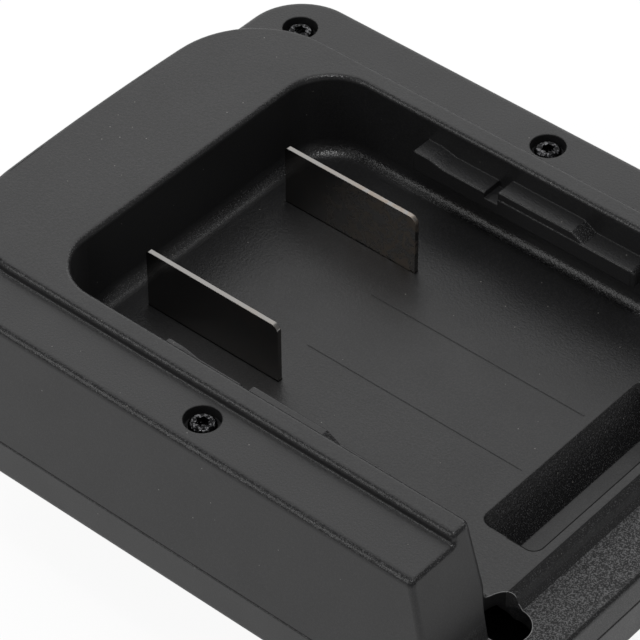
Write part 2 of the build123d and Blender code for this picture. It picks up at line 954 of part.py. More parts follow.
def main():
    os.makedirs("parts", exist_ok=True)
    save("upper_housing", upper_housing())
    save("lower_cover", lower_cover())
    save("housing_screws", housing_screws())
    save("blade_carrier", blade_carrier())
    save("carrier_screws", carrier_screws())
    save("contact_block", contact_block())
    save("block_screws", block_screws())
    save("latch_slide", latch_slide())
    low, high = wire_levels()
    lower, upper = terminal_starts()
    for name, side in (("positive", 1), ("negative", -1)):
        save("blade_" + name, blade(side))
        save("clip_" + name, contact_clip(side))
        save("wire_" + name, wire(side))
        save("blade_terminal_" + name, terminal(side, upper, high, 1))
        save("clip_terminal_" + name, terminal(side, lower, low, -1))
    for name, side in (("left", 1), ("right", -1)):
        save("latch_spring_" + name, latch_spring(side))


main()
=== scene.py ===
# %% [markdown]
# A slide-on tool battery adapter, dressed for a studio picture.
# The housing, cover, blades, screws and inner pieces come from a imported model, at their real size and place.
# This file gives each piece its finish, then sets up a paper floor, soft lights and a camera.
# Nearly all the work is in materials and light, because those are what makes black plastic look like black
# plastic. Every length is written in millimetres, and one value turns it into metres.

# %% Load the fixed model
import bpy
import math
from mathutils import Matrix, Vector


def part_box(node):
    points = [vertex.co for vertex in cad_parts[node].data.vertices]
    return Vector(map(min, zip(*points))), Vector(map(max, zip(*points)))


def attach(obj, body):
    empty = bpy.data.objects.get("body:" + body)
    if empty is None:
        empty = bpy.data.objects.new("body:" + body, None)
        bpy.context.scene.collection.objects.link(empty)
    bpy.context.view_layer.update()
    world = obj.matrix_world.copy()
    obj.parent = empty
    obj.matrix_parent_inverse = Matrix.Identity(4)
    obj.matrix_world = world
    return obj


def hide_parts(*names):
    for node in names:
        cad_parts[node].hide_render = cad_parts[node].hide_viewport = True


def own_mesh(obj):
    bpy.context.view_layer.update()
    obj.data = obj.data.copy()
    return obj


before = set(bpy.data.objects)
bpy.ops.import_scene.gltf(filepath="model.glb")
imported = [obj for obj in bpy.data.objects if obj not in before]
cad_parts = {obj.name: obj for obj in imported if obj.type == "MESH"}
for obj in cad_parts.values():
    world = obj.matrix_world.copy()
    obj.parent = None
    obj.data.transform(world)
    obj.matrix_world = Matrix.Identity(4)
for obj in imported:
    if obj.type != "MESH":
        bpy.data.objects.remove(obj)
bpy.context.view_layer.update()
MM = 0.001

# %% [markdown]
# Colours are written as sRGB hex values, the way a paint or a screen colour is given.
# Blender shades in linear light, so one function turns each hex value into a linear colour.
# A hex value could be typed as three decimals instead, but those are hard to compare with a swatch.

# %% Colour
WHITE = "#ffffff"


def linear(hex_colour):
    """Linear colour of an sRGB hex value such as #808080."""
    parts = [int(hex_colour[start:start + 2], 16) / 255 for start in (1, 3, 5)]
    return tuple(c / 12.92 if c <= 0.04045 else ((c + 0.055) / 1.055) ** 2.4 for c in parts) + (1.0,)


print("#808080, a middle grey on a screen, reflects", round(linear("#808080")[0], 3), "of the light")

# %% [markdown]
# A material is a small graph of nodes. One helper adds a node: it sets the node's own settings, then
# the plain values of its sockets, and links the sockets that other nodes feed.
# With it, a material reads from top to bottom as a short list of steps.

# %% Node helper
def add(tree, kind, links=None, values=None, **settings):
    """Add a node with its settings, socket values and links from other nodes' outputs."""
    node = tree.nodes.new(kind)
    for name, value in settings.items():
        setattr(node, name, value)
    for socket, value in (values or {}).items():
        node.inputs[socket].default_value = value
    for socket, output in (links or {}).items():
        tree.links.new(output, node.inputs[socket])
    return node


def new_material(name):
    """Empty node material, and its graph."""
    material = bpy.data.materials.new(name)
    material.use_nodes = True
    material.node_tree.nodes.clear()
    return material, material.node_tree


print("helpers ready:", add.__name__, "and", new_material.__name__)

# %% [markdown]
# Grain, scratches and dust have real sizes, so the patterns need coordinates in millimetres.
# Each piece of the model sits at the origin and keeps its place in its mesh, so its object coordinates
# are metres in one shared space. Scaled up, they give every piece the same grain, with no seams
# between pieces and no unwrapping. Image textures would need both.

# %% Coordinates in millimetres
def millimetres(tree):
    """Place on the adapter in millimetres."""
    place = add(tree, "ShaderNodeTexCoord")
    scaled = add(tree, "ShaderNodeVectorMath", {0: place.outputs["Object"]}, {"Scale": 1 / MM},
                 operation="SCALE")
    return scaled.outputs[0]


# %% [markdown]
# Real edges are never razor sharp. The mould rounds them by a few tenths of a millimetre, and that
# thin round catches a bright or a dark line which outlines each form. It could be modelled, at the cost of
# many small faces. The bevel node instead bends the shading near an edge, so the line shows but the shape
# stays as it is.
# Dust is drawn as well, because a black part always shows it: cells a few millimetres apart, each with one
# pale speck in its middle. The specks are about a pixel wide, coarser than most real dust, so that they show.

# %% Edge line and dust
EDGE_ROUND = 0.35
DUST_SPACING = 2.6
DUST_RADIUS = 0.12


def soft_edges(tree, radius=EDGE_ROUND):
    """Shading normal that is rounded near edges."""
    return add(tree, "ShaderNodeBevel", values={"Radius": radius * MM}, samples=6).outputs[0]


def dust(tree, place):
    """Mask that is 1 on small, scattered specks."""
    cells = add(tree, "ShaderNodeTexVoronoi", {"Vector": place},
                {"Scale": 1 / DUST_SPACING, "Randomness": 1.0})
    reach = DUST_RADIUS / DUST_SPACING
    speck = add(tree, "ShaderNodeMapRange", {"Value": cells.outputs["Distance"]},
                {"From Min": reach, "From Max": 0.5 * reach})
    return speck.outputs[0]


print("edges rounded by", EDGE_ROUND, "mm, dust every", DUST_SPACING, "mm")

# %% [markdown]
# The housing and the cover are glass-filled nylon, moulded in a steel tool whose faces were spark-eroded.
# The plastic copies the fine craters of the tool, but not evenly. The front, where a battery's foot rubs,
# has the coarsest grain. Rounds and slopes glitter, because they turn from a bright reflection to a dark
# one, and that glitter is partly painted into the colour as pale flecks, while upright walls look nearly
# smooth. Each zone could be a material of its own on faces picked by hand. Masks that ask where a point lies
# and which way it faces need no picking, and they blend softly.

# %% Zones of the grain
FRONT_START = 48.0
DECK_LEVEL = 33.3
ZONE_BLEND = 0.42
UPRIGHT_RISE, UPWARD_RISE = 0.3, 0.6
SLOPE_RISE, LEVEL_RISE = 0.93, 0.99


def front_mask(tree, place):
    """Mask that is 1 on the step, the shelf and the low front face."""
    axes = add(tree, "ShaderNodeSeparateXYZ", {0: place})
    ahead = add(tree, "ShaderNodeMapRange", {"Value": axes.outputs["X"]},
                {"From Min": FRONT_START, "From Max": FRONT_START + ZONE_BLEND})
    below = add(tree, "ShaderNodeMapRange", {"Value": axes.outputs["Z"]},
                {"From Min": DECK_LEVEL, "From Max": DECK_LEVEL - ZONE_BLEND})
    both = add(tree, "ShaderNodeMath", {0: ahead.outputs[0], 1: below.outputs[0]}, operation="MULTIPLY")
    return both.outputs[0]


def facing_masks(tree):
    """Two masks: 1 on all that faces upwards, and 1 on the rounds and slopes only."""
    normal = add(tree, "ShaderNodeNewGeometry").outputs["Normal"]
    rise = add(tree, "ShaderNodeSeparateXYZ", {0: normal}).outputs["Z"]
    upward = add(tree, "ShaderNodeMapRange", {"Value": rise},
                 {"From Min": UPRIGHT_RISE, "From Max": UPWARD_RISE}).outputs[0]
    tilted = add(tree, "ShaderNodeMapRange", {"Value": rise},
                 {"From Min": LEVEL_RISE, "From Max": SLOPE_RISE}).outputs[0]
    slope = add(tree, "ShaderNodeMath", {0: tilted, 1: upward}, operation="MULTIPLY")
    return upward, slope.outputs[0]


def zone_masks(tree, place):
    """Masks of the grain's zones: upward faces, slopes, the front, and the front's level top."""
    upward, slope = facing_masks(tree)
    front = front_mask(tree, place)
    shelf = add(tree, "ShaderNodeMath", {0: front, 1: upward}, operation="MULTIPLY")
    shelf = add(tree, "ShaderNodeMath", {0: shelf.outputs[0], 1: slope}, operation="SUBTRACT", use_clamp=True)
    return {"upward": upward, "slope": slope, "front": front, "shelf": shelf.outputs[0]}


print("front from", FRONT_START, "mm, slopes between", round(math.degrees(math.acos(LEVEL_RISE))), "and",
      round(math.degrees(math.acos(UPRIGHT_RISE))), "degrees")

# %% [markdown]
# Two lines as thin as a hair are drawn dark. One is the seam where the upper and the lower moulding meet.
# The other is painted shade along the small round of the latch recess's front edge, which turns dark there.
# Cut into the mesh, such a gap or round would need many thin faces for a line less than a pixel wide. A mask
# draws both in the material instead. The parting seam lies at one level, and the shade line follows the
# recess, so it lies at one distance from a box inside the recess. The real seam is about a tenth of a
# millimetre wide. The lines are drawn two and three times as wide, so that they show.

# %% Parting seam and painted shade line
PARTING_LEVEL = 25.5
PARTING_HALF_WIDTH = 0.17
SHADE_LINE_HALF_WIDTH = 0.1
RECESS_MIDDLE = 41.175
RECESS_HALF = (5.175, 19.2)
RECESS_CORNER = 1.7
DECK_REACH = 0.6
NO_LIMIT = 1000.0


def distance_from_box(tree, place, middle, half):
    """Distance in millimetres from a box of these half sizes, 0 inside it."""
    away = add(tree, "ShaderNodeVectorMath", {0: place}, {1: middle}, operation="SUBTRACT")
    away = add(tree, "ShaderNodeVectorMath", {0: away.outputs[0]}, operation="ABSOLUTE")
    away = add(tree, "ShaderNodeVectorMath", {0: away.outputs[0]}, {1: half}, operation="SUBTRACT")
    away = add(tree, "ShaderNodeVectorMath", {0: away.outputs[0]}, {1: (0, 0, 0)}, operation="MAXIMUM")
    return add(tree, "ShaderNodeVectorMath", {0: away.outputs[0]}, operation="LENGTH").outputs["Value"]


# Painted shade: the line round the recess is drawn dark in the colour, beside the real parting seam.
def seam_and_shade_line_mask(tree, place):
    """Mask that is 1 on the parting seam, and on a line of painted shade round the front of the deck's recess.
    """
    axes = add(tree, "ShaderNodeSeparateXYZ", {0: place})
    level = axes.outputs["Z"]
    parting = add(tree, "ShaderNodeMath", {0: level}, {1: PARTING_LEVEL, 2: PARTING_HALF_WIDTH},
                  operation="COMPARE")
    straight = (RECESS_HALF[0] - RECESS_CORNER, RECESS_HALF[1] - RECESS_CORNER, NO_LIMIT)
    away = distance_from_box(tree, place, (RECESS_MIDDLE, 0, 0), straight)
    ring = add(tree, "ShaderNodeMath", {0: away},
               {1: RECESS_CORNER + SHADE_LINE_HALF_WIDTH, 2: SHADE_LINE_HALF_WIDTH}, operation="COMPARE")
    deck = add(tree, "ShaderNodeMath", {0: level}, {1: DECK_LEVEL, 2: DECK_REACH}, operation="COMPARE")
    front = add(tree, "ShaderNodeMath", {0: axes.outputs["X"]}, {1: RECESS_MIDDLE}, operation="GREATER_THAN")
    for limit in (deck, front):
        ring = add(tree, "ShaderNodeMath", {0: ring.outputs[0], 1: limit.outputs[0]}, operation="MULTIPLY")
    both = add(tree, "ShaderNodeMath", {0: ring.outputs[0], 1: parting.outputs[0]}, operation="MAXIMUM")
    return both.outputs[0]


print("parting seam at", PARTING_LEVEL, "mm, recess", 2 * RECESS_HALF[0], "by", 2 * RECESS_HALF[1], "mm")

# %% [markdown]
# Two more places are set right in the shading. The slope from the deck down to the shelf has a crisp upper
# edge on the real part, while the model rounds it widely. A mask gives that whole band the direction of the
# slope, which looks crisp and leaves the mesh alone. The round holes in the deck's corners show a thin bright
# crescent of edge highlight on their lips, so a second mask rings each hole and paints that highlight into
# the colour as a pale line. It is painted light, a pixel wide so that it shows.

# %% Step facing and painted lip highlights
STEP_MIDDLE = (48.93, 0, 31.6)
STEP_HALF = (1.18, 28.5, 1.48)
STEP_FACING = (0.75, 0, 0.661)
TOUCH = 0.001
HOLE_PLACE = (50.1, 30.2, 0)
HOLE_RADIUS = 3.55
LIP_HALF_WIDTH = 0.1
LIP_SHARE = 0.8


def step_mask(tree, place):
    """Mask that is 1 on the slope from the deck down to the shelf."""
    away = distance_from_box(tree, place, STEP_MIDDLE, STEP_HALF)
    return add(tree, "ShaderNodeMath", {0: away}, {1: TOUCH}, operation="LESS_THAN").outputs[0]


# Painted highlight: a pale ring laid into the base colour on the holes' lips.
def lip_highlight_mask(tree, place, upward):
    """Mask that is 1 on the lips of the two round holes in the deck's corners, where a highlight is painted.
    """
    mirrored = add(tree, "ShaderNodeVectorMath", {0: place}, operation="ABSOLUTE").outputs[0]
    away = distance_from_box(tree, mirrored, HOLE_PLACE, (0, 0, NO_LIMIT))
    lip = add(tree, "ShaderNodeMath", {0: away}, {1: HOLE_RADIUS, 2: LIP_HALF_WIDTH},
              operation="COMPARE").outputs[0]
    level = add(tree, "ShaderNodeSeparateXYZ", {0: place}).outputs["Z"]
    low = add(tree, "ShaderNodeMapRange", {"Value": level},
              {"From Min": DECK_LEVEL + ZONE_BLEND, "From Max": DECK_LEVEL, "To Max": LIP_SHARE}).outputs[0]
    for limit in (low, upward):
        lip = add(tree, "ShaderNodeMath", {0: lip, 1: limit}, operation="MULTIPLY").outputs[0]
    return lip


print("holes of", 2 * HOLE_RADIUS, "mm at", HOLE_PLACE[:2], "with lips of", 2 * LIP_HALF_WIDTH, "mm")

# %% [markdown]
# The craters of the tool have tiny rims that catch the light one by one. Real ones are about a tenth of a
# millimetre wide, half a pixel of the picture, and would blur to an even grey. Their glints are painted into
# the base colour as pale flecks twice that size, so that they show, in a share that differs from zone to zone.
# These flecks are painted highlights, not a colour of the plastic.

# %% Painted glints
GLINT = 0.2
GLINT_NOISE = (0.45, 0.64)
GLINT_SHARE = 0.05
FRONT_GLINT_SHARE = 0.2
SHELF_GLINT_SHARE = 0.62
SLOPE_GLINT_NOISE = (0.57, 0.7)
SLOPE_GLINT_SHARE = 0.3


def painted_glint_mask(tree, place, zones):
    """Mask of painted glints: small pale flecks in the colour, denser on the front and sparser on slopes."""
    rims = add(tree, "ShaderNodeTexNoise", {"Vector": place},
               {"Scale": 1 / GLINT, "Detail": 1.0, "Roughness": 0.5}).outputs["Fac"]
    glint = add(tree, "ShaderNodeMapRange", {"Value": rims},
                {"From Min": GLINT_NOISE[0], "From Max": GLINT_NOISE[1]})
    share = add(tree, "ShaderNodeMapRange", {"Value": zones["front"]},
                {"To Min": GLINT_SHARE, "To Max": FRONT_GLINT_SHARE})
    share = add(tree, "ShaderNodeMapRange", {"Value": zones["shelf"], "To Min": share.outputs[0]},
                {"To Max": SHELF_GLINT_SHARE})
    glint = add(tree, "ShaderNodeMath", {0: glint.outputs[0], 1: share.outputs[0]}, operation="MULTIPLY")
    sparse = add(tree, "ShaderNodeMapRange", {"Value": rims},
                 {"From Min": SLOPE_GLINT_NOISE[0], "From Max": SLOPE_GLINT_NOISE[1],
                  "To Max": SLOPE_GLINT_SHARE})
    glint = add(tree, "ShaderNodeMapRange",
                {"Value": zones["slope"], "To Min": glint.outputs[0], "To Max": sparse.outputs[0]})
    return glint.outputs[0]


print("glints", GLINT, "mm wide, share", GLINT_SHARE, "in general and", SHELF_GLINT_SHARE, "on the shelf")

# %% [markdown]
# Colour, gloss and depth of grain each start from one value and change from zone to zone. The nylon is a
# very dark grey, and the flow of the melt adds a slow drift of tone and gloss. A higher roughness alone
# would give the satin sheen without the glitter, so part of the scatter is real bump. The bump is drawn
# four times as wide as the real craters, so that it shows. Painted glints, dust, the parting seam, a line of
# painted shade round the recess and painted highlights on the holes' lips lie on top, in the colour.

# %% Colour, gloss and grain of the nylon
FLOW = 9.0
FLOW_NOISE = (0.3, 0.7)
NYLON_COLOUR, NYLON_DRIFT = "#202021", "#232324"
# The glint colour is a painted highlight; the dust colour is real dust.
PAINTED_GLINT_COLOUR, DUST_COLOUR = "#8a8a8b", "#8c8a86"
# The seam colour draws the real parting seam and a line of painted shade; the lip colour is a painted
# highlight.
SEAM_AND_SHADE_LINE_COLOUR, LIP_HIGHLIGHT_COLOUR = "#020202", "#b4b4b4"
NYLON_ROUGHNESS, ROUGHNESS_DRIFT = 0.38, 0.03
SHELF_ROUGHNESS, SLOPE_ROUGHNESS, SEAM_AND_SHADE_LINE_ROUGHNESS = 0.78, 0.22, 1.0
GRAIN = 0.42
GRAIN_DEPTH, FRONT_DEPTH, SLOPE_DEPTH, UPRIGHT_DEPTH = 0.055, 0.13, 0.085, 0.012


def nylon_colour(tree, place, zones, flow, seam_and_shade_line):
    """Dark grey with painted glints, dust, the parting seam, painted shade and painted lip highlights on top.
    """
    tone = add(tree, "ShaderNodeMix", {"Factor": flow},
               {"A": linear(NYLON_COLOUR), "B": linear(NYLON_DRIFT)}, data_type="RGBA")
    layers = ((painted_glint_mask(tree, place, zones), PAINTED_GLINT_COLOUR), (dust(tree, place), DUST_COLOUR),
              (seam_and_shade_line, SEAM_AND_SHADE_LINE_COLOUR), (lip_highlight_mask(tree, place, zones["upward"]), LIP_HIGHLIGHT_COLOUR))
    for mask, hex_colour in layers:
        tone = add(tree, "ShaderNodeMix", {"Factor": mask, "A": tone.outputs["Result"]},
                   {"B": linear(hex_colour)}, data_type="RGBA")
    return tone.outputs["Result"]


def nylon_gloss(tree, zones, flow, seam_and_shade_line):
    """Roughness that drifts slightly, duller on the shelf and glossier on slopes."""
    rough = add(tree, "ShaderNodeMapRange", {"Value": flow},
                {"From Min": FLOW_NOISE[0], "From Max": FLOW_NOISE[1],
                 "To Min": NYLON_ROUGHNESS - ROUGHNESS_DRIFT, "To Max": NYLON_ROUGHNESS + ROUGHNESS_DRIFT})
    for mask, value in ((zones["shelf"], SHELF_ROUGHNESS), (zones["slope"], SLOPE_ROUGHNESS),
                        (seam_and_shade_line, SEAM_AND_SHADE_LINE_ROUGHNESS)):
        rough = add(tree, "ShaderNodeMapRange", {"Value": mask, "To Min": rough.outputs[0]},
                    {"To Max": value})
    return rough.outputs[0]


def nylon_depth(tree, zones):
    """Depth of the grain in metres."""
    depth = add(tree, "ShaderNodeMapRange", {"Value": zones["front"]},
                {"To Min": GRAIN_DEPTH * MM, "To Max": FRONT_DEPTH * MM})
    depth = add(tree, "ShaderNodeMapRange", {"Value": zones["slope"], "To Min": depth.outputs[0]},
                {"To Max": SLOPE_DEPTH * MM})
    depth = add(tree, "ShaderNodeMapRange", {"Value": zones["upward"], "To Max": depth.outputs[0]},
                {"To Min": UPRIGHT_DEPTH * MM})
    return depth.outputs[0]


print("grain", GRAIN, "mm wide and", GRAIN_DEPTH, "mm deep, on the front", FRONT_DEPTH, "mm deep")

# %% [markdown]
# The steps above now make one material, with the typical IOR of nylon, 1.53. The housing and the cover each
# get their own copy. They could share one, but they come from two moulds, and a later change to the finish
# of one of them should not touch the other.

# %% Spark-eroded nylon
NYLON_IOR = 1.53


def eroded_nylon(name, edge=EDGE_ROUND):
    """Black glass-filled nylon with a spark-eroded grain."""
    material, tree = new_material(name)
    place = millimetres(tree)
    flow = add(tree, "ShaderNodeTexNoise", {"Vector": place},
               {"Scale": 1 / FLOW, "Detail": 3.0}).outputs["Fac"]
    craters = add(tree, "ShaderNodeTexNoise", {"Vector": place},
                  {"Scale": 1 / GRAIN, "Detail": 2.0, "Roughness": 0.65}).outputs["Fac"]
    zones = zone_masks(tree, place)
    seam_and_shade_line = seam_and_shade_line_mask(tree, place)
    bump = add(tree, "ShaderNodeBump", {"Height": craters, "Distance": nylon_depth(tree, zones)},
               {"Strength": 1.0})
    if edge:
        facing = add(tree, "ShaderNodeMix", {"Factor": step_mask(tree, place), "A": soft_edges(tree, edge)},
                     {"B": STEP_FACING}, data_type="VECTOR")
        tree.links.new(facing.outputs["Result"], bump.inputs["Normal"])
    shader = add(tree, "ShaderNodeBsdfPrincipled",
                 {"Base Color": nylon_colour(tree, place, zones, flow, seam_and_shade_line),
                  "Roughness": nylon_gloss(tree, zones, flow, seam_and_shade_line), "Normal": bump.outputs[0]},
                 {"IOR": NYLON_IOR})
    add(tree, "ShaderNodeOutputMaterial", {"Surface": shader.outputs[0]})
    return material


housing_nylon = eroded_nylon("spark_eroded_nylon_housing")
cover_nylon = eroded_nylon("spark_eroded_nylon_cover")
print("nodes in the nylon", len(housing_nylon.node_tree.nodes))

# %% [markdown]
# The latch is acetal, which moulds glossier than nylon. The plate that clamps the blades and the block round
# the contact clips are a dark grey, heat-proof polyester. The wires have silicone insulation, extruded
# smooth. All share one recipe of a base colour, a faint drift of tone and a fine grain, because what tells
# them apart is colour, gloss and grain depth. The grain is drawn as coarse as that of the nylon, to show.

# %% Other plastics
FINE_GRAIN = 0.4
FINE_GRAIN_DRIFT = 0.04


def moulded_plastic(name, colour, drift, roughness, grain_depth, ior):
    """Plain moulded or extruded plastic with a faint grain."""
    material, tree = new_material(name)
    place = millimetres(tree)
    grain = add(tree, "ShaderNodeTexNoise", {"Vector": place}, {"Scale": 1 / FINE_GRAIN, "Detail": 3.0})
    flow = add(tree, "ShaderNodeTexNoise", {"Vector": place}, {"Scale": 1 / FLOW, "Detail": 3.0})
    shade = add(tree, "ShaderNodeMix", {"Factor": flow.outputs["Fac"]},
                {"A": linear(colour), "B": linear(drift)}, data_type="RGBA")
    gloss = add(tree, "ShaderNodeMapRange", {"Value": grain.outputs["Fac"]},
                {"From Min": FLOW_NOISE[0], "From Max": FLOW_NOISE[1],
                 "To Min": roughness - FINE_GRAIN_DRIFT, "To Max": roughness + FINE_GRAIN_DRIFT})
    bump = add(tree, "ShaderNodeBump", {"Height": grain.outputs["Fac"], "Normal": soft_edges(tree)},
               {"Strength": 1.0, "Distance": grain_depth * MM})
    shader = add(tree, "ShaderNodeBsdfPrincipled",
                 {"Base Color": shade.outputs["Result"], "Roughness": gloss.outputs[0],
                  "Normal": bump.outputs[0]}, {"IOR": ior})
    add(tree, "ShaderNodeOutputMaterial", {"Surface": shader.outputs[0]})
    return material


latch_acetal = moulded_plastic("moulded_black_acetal", "#1c1c1d", "#202021", 0.32, 0.012, 1.48)
polyester = moulded_plastic("moulded_grey_polyester", "#37383a", "#3f4042", 0.5, 0.02, 1.57)
red_silicone = moulded_plastic("extruded_red_silicone", "#8f1614", "#a01b18", 0.45, 0.008, 1.41)
black_silicone = moulded_plastic("extruded_black_silicone", "#19191a", "#1e1e1f", 0.45, 0.008, 1.41)
print("fine grain", FINE_GRAIN, "mm wide")

# %% [markdown]
# The two upright blades are stamped from a copper alloy and plated with nickel.
# Nickel is a slightly warm grey metal. Handling and heat leave brownish, cloudy stains a few millimetres
# wide, most of them towards the front of the far blade, and battery clips rub long fine marks along the
# slide. A painted mask could place each stain, but clouded noise gives the same look from any side.
# Stained plating is also duller, so one mask drives both the colour and the roughness.

# %% Nickel plating
NICKEL, STAINED_NICKEL = "#949290", "#a1968b"
BRIGHT_ROUGHNESS, STAINED_ROUGHNESS = 0.16, 0.5
TARNISH = 2.6
TARNISH_NOISE = (0.45, 0.57)
CLEAN_BACK, STAINED_FRONT, BACK_SHARE = -25.0, -9.0, 0.2
SLIDE_HALF, NEAR_SHARE = 12.0, 0.25
RUB_WIDTH, RUB_LENGTH = 0.15, 4.0
RUB_DEPTH, RUB_STRENGTH = 0.006, 0.35
METAL_EDGE = 0.12


def tarnish_mask(tree, place):
    """Mask of cloudy stains, which grow towards the front and towards the far blade."""
    stain = add(tree, "ShaderNodeTexNoise", {"Vector": place},
                {"Scale": 1 / TARNISH, "Detail": 6.0, "Roughness": 0.7, "Distortion": 0.6})
    axes = add(tree, "ShaderNodeSeparateXYZ", {0: place})
    ahead = add(tree, "ShaderNodeMapRange", {"Value": axes.outputs["X"]},
                {"From Min": CLEAN_BACK, "From Max": STAINED_FRONT, "To Min": BACK_SHARE})
    across = add(tree, "ShaderNodeMapRange", {"Value": axes.outputs["Y"]},
                 {"From Min": -SLIDE_HALF, "From Max": SLIDE_HALF, "To Min": NEAR_SHARE})
    share = add(tree, "ShaderNodeMath", {0: ahead.outputs[0], 1: across.outputs[0]}, operation="MULTIPLY")
    return add(tree, "ShaderNodeMapRange", {"Value": stain.outputs["Fac"], "To Max": share.outputs[0]},
               {"From Min": TARNISH_NOISE[0], "From Max": TARNISH_NOISE[1]}).outputs[0]


def nickel_plate(name):
    """Nickel plating with cloudy tarnish, and rub marks along the slide."""
    material, tree = new_material(name)
    place = millimetres(tree)
    stretched = add(tree, "ShaderNodeMapping", {"Vector": place},
                    {"Scale": (1 / RUB_LENGTH, 1 / RUB_WIDTH, 1 / RUB_WIDTH)})
    rubs = add(tree, "ShaderNodeTexNoise", {"Vector": stretched.outputs[0]}, {"Scale": 1.0, "Detail": 3.0})
    tarnish = tarnish_mask(tree, place)
    colour = add(tree, "ShaderNodeMix", {"Factor": tarnish},
                 {"A": linear(NICKEL), "B": linear(STAINED_NICKEL)}, data_type="RGBA")
    gloss = add(tree, "ShaderNodeMapRange", {"Value": tarnish},
                {"To Min": BRIGHT_ROUGHNESS, "To Max": STAINED_ROUGHNESS})
    bump = add(tree, "ShaderNodeBump",
               {"Height": rubs.outputs["Fac"], "Normal": soft_edges(tree, METAL_EDGE)},
               {"Strength": RUB_STRENGTH, "Distance": RUB_DEPTH * MM})
    shader = add(tree, "ShaderNodeBsdfPrincipled",
                 {"Base Color": colour.outputs["Result"], "Roughness": gloss.outputs[0],
                  "Normal": bump.outputs[0]}, {"Metallic": 1.0})
    add(tree, "ShaderNodeOutputMaterial", {"Surface": shader.outputs[0]})
    return material


blade_nickel = nickel_plate("nickel_plated_copper")
print("tarnish patches", TARNISH, "mm, rub marks", RUB_LENGTH, "by", RUB_WIDTH, "mm")

# %% [markdown]
# The housing screws are steel with a black oxide film, worn brighter where the driver and the burrs are.
# The inner screws are zinc plated, the clips are spring bronze, the terminals are tinned copper, and the
# latch springs are drawn steel wire. Bare metals differ in tint and gloss, and all show small marks from
# forming. One recipe with a colour, a worn colour, a gloss and the size of the marks serves them all.

# %% Other metals
MARK, MARK_DEPTH = 0.4, 0.01
WORN_FROM, WORN_TO = 0.35, 0.65
MARK_DRIFT = 0.06


def formed_metal(name, colour, worn, roughness, mark=MARK, mark_depth=MARK_DEPTH, worn_from=WORN_FROM):
    """Metal with slight changes of tint and gloss, at the size of its marks."""
    material, tree = new_material(name)
    place = millimetres(tree)
    marks = add(tree, "ShaderNodeTexNoise", {"Vector": place}, {"Scale": 1 / mark, "Detail": 3.0})
    patches = add(tree, "ShaderNodeMapRange", {"Value": marks.outputs["Fac"]},
                  {"From Min": worn_from, "From Max": WORN_TO})
    tone = add(tree, "ShaderNodeMix", {"Factor": patches.outputs[0]},
               {"A": linear(colour), "B": linear(worn)}, data_type="RGBA")
    gloss = add(tree, "ShaderNodeMapRange", {"Value": patches.outputs[0]},
                {"To Min": roughness - MARK_DRIFT, "To Max": roughness + MARK_DRIFT})
    bump = add(tree, "ShaderNodeBump",
               {"Height": marks.outputs["Fac"], "Normal": soft_edges(tree, METAL_EDGE)},
               {"Strength": 1.0, "Distance": mark_depth * MM})
    shader = add(tree, "ShaderNodeBsdfPrincipled",
                 {"Base Color": tone.outputs["Result"], "Roughness": gloss.outputs[0],
                  "Normal": bump.outputs[0]}, {"Metallic": 1.0})
    add(tree, "ShaderNodeOutputMaterial", {"Surface": shader.outputs[0]})
    return material


black_oxide = formed_metal("black_oxide_steel", "#161617", "#6e6e70", 0.2, 0.45, 0.08, 0.5)
zinc = formed_metal("zinc_plated_steel", "#b9babd", "#a2a3a6", 0.34)
bronze = formed_metal("spring_bronze", "#c79a5e", "#b08450", 0.3)
tin = formed_metal("tinned_copper", "#c9c8c4", "#b3b1ac", 0.36)
spring_steel = formed_metal("drawn_spring_steel", "#a9aaad", "#8f9093", 0.28)
print("metals", [metal.name for metal in (black_oxide, zinc, bronze, tin, spring_steel)])

# %% [markdown]
# Each piece of the model now gets its finish. A table from piece to material keeps that readable, and
# it is checked against the model, so that no piece is left plain.

# %% Finish of each piece
finishes = {
    "upper_housing": housing_nylon,
    "lower_cover": cover_nylon,
    "housing_screws": black_oxide,
    "blade_carrier": polyester,
    "carrier_screws": zinc,
    "contact_block": polyester,
    "block_screws": zinc,
    "latch_slide": latch_acetal,
    "blade_positive": blade_nickel,
    "blade_negative": blade_nickel,
    "clip_positive": bronze,
    "clip_negative": bronze,
    "wire_positive": red_silicone,
    "wire_negative": black_silicone,
    "blade_terminal_positive": tin,
    "blade_terminal_negative": tin,
    "clip_terminal_positive": tin,
    "clip_terminal_negative": tin,
    "latch_spring_left": spring_steel,
    "latch_spring_right": spring_steel,
}
for name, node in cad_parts.items():
    node.data.materials.clear()
    node.data.materials.append(finishes[name])
print("finished pieces", len(finishes), "left plain", sorted(set(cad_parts) - set(finishes)))

# %% [markdown]
# The rim's upper edge is rounded all the way round, but the model's mesh cuts straight across that round for
# a few millimetres in two places at the back, where it shows against the white ground as two small nicks.
# The model's mesh stays as it is, so a thin strip with the true round lies over the middle of that edge.
# Its section is an arc of the edge's radius, carried along the bow of the back in small steps, and it stands
# proud by a few thousandths of a millimetre, far too little to see. Its finish is that of the housing, but
# without the bevel, which would round the strip's own thin sides.

# %% Strip over the rim's back edge
EDGE_RADIUS = 0.95
SIDE_DRAFT = math.radians(5.5)
HOUSING_HEIGHT = 22.6
BACK_BOW = 1.4
BOW_HALF_WIDTH = 37.58
STRIP_HALF_WIDTH = 19.6
STRIP_STEPS = 56
ARC_STEPS = 14
ARC_START = math.radians(5)
ARC_END = math.radians(82)
PROUD = 0.004
STRIP_THICKNESS = 0.1
SMOOTH_BELOW = math.radians(40)


